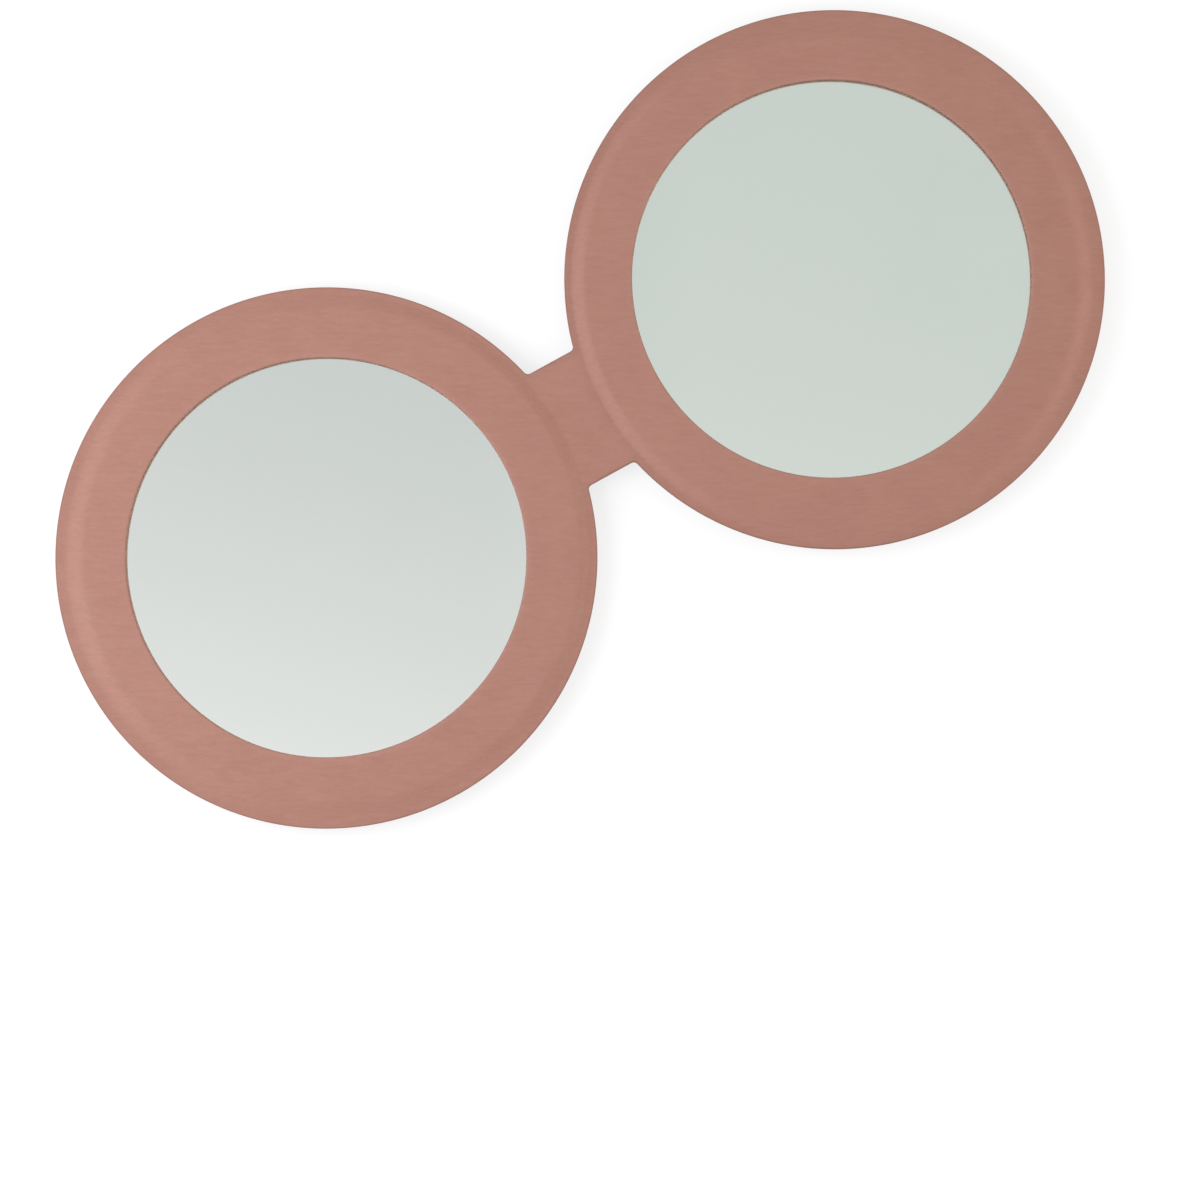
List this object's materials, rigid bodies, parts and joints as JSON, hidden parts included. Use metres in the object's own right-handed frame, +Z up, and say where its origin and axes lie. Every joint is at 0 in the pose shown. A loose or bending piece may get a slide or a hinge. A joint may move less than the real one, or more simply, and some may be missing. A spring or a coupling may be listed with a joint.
{
  "type": "compact mirror",
  "caption": "Round leatherette compact that opens flat: stiffened discs with framed round mirrors, joined by a short folding strap and closing face to face on hidden magnets.",
  "frame": {"origin": "on the surface that the open compact lies on, under the middle of the strap", "axes": "+X from the centre of the base disc to the centre of the lid disc; +Z up, out of the mirrors"},
  "size_m": [0.1326, 0.064, 0.004],
  "materials": {
    "leatherette": "matte",
    "foam": "matte",
    "greyboard": "matte",
    "tape": "satin",
    "silver": "polished",
    "glass": "polished",
    "nickel": "satin"
  },
  "bodies": {
    "base": {"base_back_cover": "leatherette", "base_foam_pad": "foam", "base_back_board": "greyboard", "base_mirror_tape": "tape", "base_mirror_silver": "silver", "base_mirror_glass": "glass", "base_ring_board": "greyboard", "base_magnets": "nickel", "base_front_cover": "leatherette"},
    "strap": {"strap_outer": "leatherette", "strap_lining": "leatherette"},
    "lid": {"lid_back_cover": "leatherette", "lid_foam_pad": "foam", "lid_back_board": "greyboard", "lid_mirror_tape": "tape", "lid_mirror_silver": "silver", "lid_mirror_glass": "glass", "lid_ring_board": "greyboard", "lid_magnets": "nickel", "lid_front_cover": "leatherette"}
  },
  "joints": [
    {"name": "base_fold", "type": "hinge", "parent": "base", "child": "strap", "pos_m": [-0.00152, 0, 0.0026], "axis": [0, -1, 0], "range_deg": [0, 90]},
    {"name": "lid_fold", "type": "hinge", "parent": "strap", "child": "lid", "pos_m": [0.00152, 0, 0.0026], "axis": [0, -1, 0], "range_deg": [0, 90]}
  ],
  "couplings": [
    {"joint": "lid_fold", "follows": "base_fold", "ratio": 1}
  ]
}
